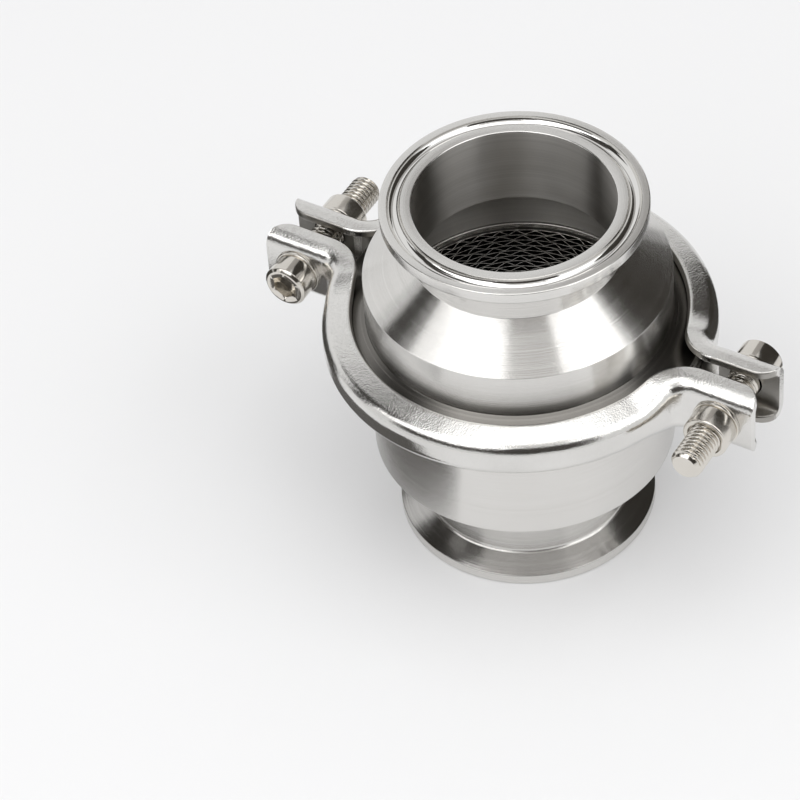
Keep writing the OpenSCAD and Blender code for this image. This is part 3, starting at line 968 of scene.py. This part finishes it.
HEX_SEGMENTS = 120
HEX_CHAMFER = math.tan(math.radians(30))
HEX_CORNER, HEX_CROWN = 1.135, 0.965
HEX_EDGE, HEX_EDGE_SHARE = 0.12, 0.3
HEX_BASE = 0.98
HEX_LIFT = 0.01
HEX_MAP_STEP = 0.01
DISH_IN, DISH_OUT, DISH_DROP = 0.72, 0.78, 0.12
MOUTH_TOP, MOUTH_TOP_H = 0.5, 0.55
MOUTH_BASE, MOUTH_BASE_H = 0.45, 0.5
MOUTH_LIFT = 0.03
CORE_PLAIN = 12.0


def hexagon_mesh(name, width, height, bore, both, place):
    """Hexagon with its corners chamfered at the top, or at both ends, and a bore if one is given."""
    flat = width / 2
    crown = flat * HEX_CROWN
    edge = HEX_EDGE * HEX_EDGE_SHARE
    bm = bmesh.new()
    uv = bm.loops.layers.uv.new("turning")
    table = []
    for k in range(HEX_SEGMENTS):
        a = 2 * math.pi * k / HEX_SEGMENTS
        reach = min(flat * hex_share(a), flat * HEX_CORNER)
        drop = max(0.0, (reach - crown)) * HEX_CHAMFER
        low = drop if both else 0.0
        if bore:
            column = [(bore, height - MOUTH_TOP_H), (bore + MOUTH_TOP, height - MOUTH_LIFT)]
        else:
            column = [(0.0, height - DISH_DROP), (crown * DISH_IN, height - DISH_DROP), (crown * DISH_OUT, height)]
        column += [(crown, height), (reach - edge, height - drop + HEX_LIFT), (reach, height - drop - HEX_EDGE),
                   (reach, low + HEX_EDGE), (reach - edge, low), (crown if both else crown * HEX_BASE, 0.0)]
        if bore:
            column += [(bore + MOUTH_BASE, MOUTH_LIFT), (bore, MOUTH_BASE_H)]
        spots = [Vector((r * math.cos(a), r * math.sin(a), z)) * MM for r, z in column]
        table.append([bm.verts.new(place @ spot) for spot in spots])
    count = len(table[0])
    for k in range(HEX_SEGMENTS):
        n = (k + 1) % HEX_SEGMENTS
        for i in range(count if bore else count - 1):
            j = (i + 1) % count
            face = bm.faces.new((table[k][i], table[n][i], table[n][j], table[k][j]))
            for loop, (u, v) in zip(face.loops, ((k, i), (k + 1, i), (k + 1, i + 1), (k, i + 1))):
                loop[uv].uv = (u / HEX_SEGMENTS, v * HEX_MAP_STEP)
    if not bore:
        bm.faces.new([column[-1] for column in table])
    bmesh.ops.remove_doubles(bm, verts=bm.verts, dist=WELD)
    bmesh.ops.recalc_face_normals(bm, faces=bm.faces)
    mesh = take_mesh(bm, name)
    mesh.materials.append(SCREW_STEEL)
    finish_mesh(mesh, angle=24.0)
    return mesh


def make_core_bolt():
    bolt_top = RIBBON_TOP + WASHER_T
    head = hexagon_mesh("core_head", CORE_HEX_W, CORE_HEAD_H, None, False, lifted(bolt_top))
    shank_outline = [(CORE_BOLT_R, 0, 0), (0, 0.5, 1)]
    shank = threaded_piece("core_shank", CORE_BOLT_R, CORE_THREAD, CORE_BOLT_LEN, CORE_PLAIN, shank_outline, (),
                           lifted(bolt_top - CORE_BOLT_LEN))
    bm = bmesh.new()
    bm.from_mesh(shank)
    bm.from_mesh(head)
    mesh = take_mesh(bm, "core_bolt_threaded")
    mesh.materials.append(SCREW_STEEL)
    finish_mesh(mesh, angle=30.0)
    place_piece("core_bolt_threaded", mesh, "core_bolt")


def make_tube(name, cad_node, inner, outer, bottom, top, edges, segments):
    """Plain tube with the fillets of its inner and outer edges."""
    inner_edge, outer_edge = edges
    corners = [(inner, bottom, inner_edge), (outer, bottom, outer_edge), (outer, top, outer_edge),
               (inner, top, inner_edge)]
    mesh = turned_mesh(name, rounded(corners, 3), [SLEEVE_STEEL], segments=segments)
    place_piece(name, mesh, cad_node)


def make_core():
    make_core_bolt()
    nut = hexagon_mesh("core_nut_hexagon", CORE_HEX_W, CORE_NUT_H, CORE_BOLT_R - THREAD_BITE, True,
                       lifted(RIBBON_BOTTOM - WASHER_T - CORE_NUT_H))
    place_piece("core_nut_hexagon", nut, "core_nut")
    for end, height in (("top", RIBBON_TOP), ("bottom", RIBBON_BOTTOM - WASHER_T)):
        ring = washer_mesh("core_washer_%s_disc" % end, CORE_HOLE_R, CORE_WASHER_R, lifted(height))
        place_piece(ring.name, ring, "core_washer_" + end)
    make_tube("core_tube_rolled", "core_tube", CORE_HOLE_R, CORE_R, RIBBON_BOTTOM, RIBBON_TOP, (0.1, 0.15), 96)
    make_tube("element_sleeve_rolled", "element_sleeve", SLEEVE_R - SLEEVE_T, SLEEVE_R, SLEEVE_BOTTOM, SLEEVE_TOP,
              (0.3, 0.3), 224)


make_core()

PACK_IN = CORE_R + RIBBON_FIT + RIBBON_T / 2
PACK_OUT = SLEEVE_R - SLEEVE_T - RIBBON_FIT - RIBBON_T / 2
CRIMP_RISE = TURN_PITCH - 2 * RIBBON_T - 2 * RIBBON_FIT
CRIMP_STEP = CRIMP_PITCH / 10
FLAT_STEP = 1.6
# Unevenness of the crimps: crimps per swing, and what it does to their place and height
WANDER_CRIMPS, WANDER_PLACE, WANDER_RISE = 2.3, 0.55, 0.16
# Third wave that makes the crimps pointed, and the scale that brings them back to their height
THIRD_WAVE, WAVE_SCALE = -1 / 9, 0.9
EDGE_UP = 0.9


def ribbon_tree():
    """A strip wound on a spiral, with waves of a given rise pressed into it."""
    tree, sockets, given, end = new_tree("wound_ribbon", [
        ("Inner Radius", "Float"), ("Turn Pitch", "Float"), ("Lift", "Float"), ("Rise", "Float"),
        ("Crimp Pitch", "Float"), ("Step", "Float"), ("Points", "Int"), ("Thickness", "Float"),
        ("Width", "Float"), ("Bottom", "Float"), ("Steel", "Material")])
    inner, pitch, crimp = (given[key] for key in ("Inner Radius", "Turn Pitch", "Crimp Pitch"))
    line = tree.nodes.new("GeometryNodeMeshLine")
    link(tree, given["Points"], line.inputs["Count"])
    run = times(tree, tree.nodes.new("GeometryNodeInputIndex").outputs[0], given["Step"])
    wound = times(tree, run, over(tree, pitch, math.pi))
    radius = math_node(tree, "SQRT", plus(tree, times(tree, inner, inner), wound))
    angle = times(tree, over(tree, minus(tree, radius, inner), pitch), 2 * math.pi)
    wander = tree.nodes.new("ShaderNodeTexNoise")
    wander.noise_dimensions = "1D"
    wander.inputs["Scale"].default_value = 1.0
    wander.inputs["Detail"].default_value = 1.0
    link(tree, over(tree, run, times(tree, crimp, WANDER_CRIMPS)), wander.inputs["W"])
    uneven = minus(tree, wander.outputs[0], 0.5)
    phase = plus(tree, over(tree, run, crimp), times(tree, uneven, WANDER_PLACE))
    wave_in = times(tree, phase, 2 * math.pi)
    third = times(tree, math_node(tree, "SINE", times(tree, wave_in, 3.0)), THIRD_WAVE)
    wave = times(tree, plus(tree, math_node(tree, "SINE", wave_in), third), WAVE_SCALE)
    lost = times(tree, math_node(tree, "ABSOLUTE", uneven), WANDER_RISE)
    height = times(tree, given["Rise"], minus(tree, 0.5, lost))
    reach = plus(tree, plus(tree, radius, given["Lift"]), times(tree, wave, height))
    middle = plus(tree, given["Bottom"], times(tree, given["Width"], 0.5))
    moved = move_round(tree, line.outputs[0], reach, angle, middle)
    path = tree.nodes.new("GeometryNodeMeshToCurve")
    link(tree, moved, path.inputs[0])
    upright = tree.nodes.new("GeometryNodeSetCurveNormal")
    upright.mode = "Z_UP"
    link(tree, path.outputs[0], upright.inputs[0])
    section = tree.nodes.new("GeometryNodeCurvePrimitiveQuadrilateral")
    link(tree, given["Thickness"], section.inputs["Width"])
    link(tree, given["Width"], section.inputs["Height"])
    swept = tree.nodes.new("GeometryNodeCurveToMesh")
    swept.inputs["Fill Caps"].default_value = True
    link(tree, upright.outputs[0], swept.inputs["Curve"])
    link(tree, section.outputs[0], swept.inputs["Profile Curve"])
    end_tree(tree, swept.outputs[0], given["Steel"], end)
    return tree, sockets


RIBBON, RIBBON_SOCKETS = ribbon_tree()


def make_ribbon(name, cad_node, lift, rise, step, last_radius):
    length = math.pi * (last_radius ** 2 - PACK_IN ** 2) / TURN_PITCH
    mesh = grow(RIBBON, RIBBON_SOCKETS, {
        "Inner Radius": PACK_IN * MM, "Turn Pitch": TURN_PITCH * MM, "Lift": lift * MM, "Rise": rise * MM,
        "Crimp Pitch": CRIMP_PITCH * MM, "Step": step * MM, "Points": int(length / step),
        "Thickness": RIBBON_T * MM, "Width": RIBBON_W * MM, "Bottom": RIBBON_BOTTOM * MM,
        "Steel": RIBBON_STEEL}, name)
    mesh.materials.clear()
    mesh.materials.append(RIBBON_STEEL)
    mesh.materials.append(RIBBON_EDGE)
    slots = [1 if abs(face.normal.z) > EDGE_UP else 0 for face in mesh.polygons]
    mesh.polygons.foreach_set("material_index", slots)
    finish_mesh(mesh, angle=50.0)
    return place_piece(name, mesh, cad_node)


make_ribbon("flat_ribbon_wound", "flat_ribbon", 0.0, 0.0, FLAT_STEP, PACK_OUT)
make_ribbon("crimped_ribbon_wound", "crimped_ribbon", TURN_PITCH / 2, CRIMP_RISE, CRIMP_STEP,
            PACK_OUT - TURN_PITCH)


# Camera at the photograph's angle, fitted to the circles seen in it

SENSOR_W, LENS = 36.0, 173.643
CAMERA_SIDE = -59.2
MIDDLE = Vector((0, 0, 0.06))

camera_data = bpy.data.cameras.new("camera")
camera_data.sensor_width = SENSOR_W
camera_data.lens = LENS
camera_data.clip_start, camera_data.clip_end = 0.05, 20.0
camera = bpy.data.objects.new("camera", camera_data)
scene.collection.objects.link(camera)
camera.matrix_world = Matrix((
    (0.864225, -0.320067, 0.388166, 0.343197),
    (0.499711, 0.635568, -0.588509, -0.575718),
    (-0.058343, 0.702575, 0.709214, 0.709345),
    (0, 0, 0, 1)))
scene.camera = camera


# Floor, world and studio light

FLOOR_HALF = 6.0
FLOOR_DROP = 0.0001
WHITE = (1.0, 1.0, 1.0, 1)


def around(side, height, distance):
    """A place round the object: degrees to the right of the camera's side, degrees up, metres away."""
    a, e = math.radians(CAMERA_SIDE + side), math.radians(height)
    return MIDDLE + distance * Vector((math.cos(e) * math.cos(a), math.cos(e) * math.sin(a), math.sin(e)))


def facing(place):
    return (MIDDLE - place).to_track_quat("-Z", "Y").to_euler()


def sheet_mesh(name, half, material):
    bm = bmesh.new()
    bmesh.ops.create_grid(bm, x_segments=1, y_segments=1, size=half)
    mesh = take_mesh(bm, name)
    mesh.materials.append(material)
    return mesh


def make_floor():
    paper = bpy.data.materials.new("pale_floor")
    paper.use_nodes = True
    shader = paper.node_tree.nodes["Principled BSDF"]
    shader.inputs["Base Color"].default_value = (0.86, 0.86, 0.865, 1)
    shader.inputs["Roughness"].default_value = 0.55
    shader.inputs["Specular IOR Level"].default_value = 0.15
    made = bpy.data.objects.new("floor", sheet_mesh("floor", FLOOR_HALF, paper))
    made.location.z = -FLOOR_DROP
    scene.collection.objects.link(made)


def make_world(seen, lit):
    """White world with one strength where it is seen or mirrored and another where it lights."""
    world = bpy.data.worlds.new("studio")
    scene.world = world
    world.use_nodes = True
    tree = world.node_tree
    sky = tree.nodes["Background"]
    sky.inputs["Color"].default_value = WHITE
    rays = tree.nodes.new("ShaderNodeLightPath").outputs
    mirrored = math_node(tree, "MAXIMUM", rays["Is Glossy Ray"], rays["Is Transmission Ray"])
    direct = math_node(tree, "MAXIMUM", rays["Is Camera Ray"], mirrored)
    link(tree, spread(tree, direct, 0.0, 1.0, lit, seen), sky.inputs["Strength"])


def softbox(name, side, height, distance, width, tall, glow):
    lamp = bpy.data.lights.new(name, "AREA")
    lamp.shape = "RECTANGLE"
    lamp.size, lamp.size_y = width, tall
    lamp.energy = glow * math.pi * width * tall
    made = bpy.data.objects.new(name, lamp)
    made.location = around(side, height, distance)
    made.rotation_euler = facing(made.location)
    made.visible_camera = False
    scene.collection.objects.link(made)


def mirror_card(name, side, height, distance, width, tall, tone):
    """A plain card that only the metal mirrors."""
    felt = bpy.data.materials.new(name)
    felt.use_nodes = True
    tree = felt.node_tree
    tree.nodes.remove(tree.nodes["Principled BSDF"])
    glow = tree.nodes.new("ShaderNodeEmission")
    glow.inputs["Color"].default_value = (*tone, 1)
    link(tree, glow.outputs[0], tree.nodes["Material Output"].inputs["Surface"])
    made = bpy.data.objects.new(name, sheet_mesh(name, 0.5, felt))
    made.scale = (width, tall, 1)
    made.location = around(side, height, distance)
    made.rotation_euler = facing(made.location)
    made.visible_camera = made.visible_diffuse = made.visible_shadow = made.visible_transmission = False
    scene.collection.objects.link(made)


make_floor()
make_world(seen=0.88, lit=0.64)
# Each box and card: degrees to the side, degrees up, metres away, width, height, and its glow or tone
softbox("left_softbox", -48, 51, 1.5, 1.75, 1.10, 1.3)
softbox("right_softbox", 57, 48, 1.5, 1.30, 1.00, 1.3)
softbox("top_softbox", 0, 90, 1.5, 0.97, 0.97, 1.15)
mirror_card("right_back_card", 120, 25, 1.3, 1.58, 1.65, (0.045, 0.041, 0.036))
mirror_card("left_gap_card", -102, 46, 1.3, 0.68, 0.77, (0.045, 0.042, 0.038))
mirror_card("left_gap_low_card", -95, 19, 1.3, 0.30, 0.66, (0.045, 0.042, 0.038))
mirror_card("left_back_card", -146, 64, 1.3, 0.53, 0.37, (0.06, 0.055, 0.05))
mirror_card("rear_right_card", 166, 49, 1.3, 0.42, 0.56, (0.42, 0.41, 0.40))
mirror_card("front_card", 8, 28, 1.2, 1.14, 0.86, (0.06, 0.055, 0.05))
mirror_card("front_left_card", -45, 23, 1.2, 1.10, 0.50, (0.09, 0.086, 0.08))
mirror_card("front_grey_card", 9.5, 59, 1.15, 0.54, 0.42, (0.76, 0.75, 0.74))
# Dark card that the metal mirrors in place of the element left out beside the arrestor, and as painted shade for
# the shadowed floor round it
mirror_card("left_low_shade_card", -78, -40, 0.078, 0.085, 0.06, (0.13, 0.125, 0.12))
mirror_card("right_side_card", 113, -14, 0.12, 0.09, 0.07, (0.06, 0.057, 0.052))
mirror_card("left_side_card", -113, -14, 0.12, 0.07, 0.07, (0.07, 0.067, 0.062))

scene.view_settings.view_transform = "Standard"
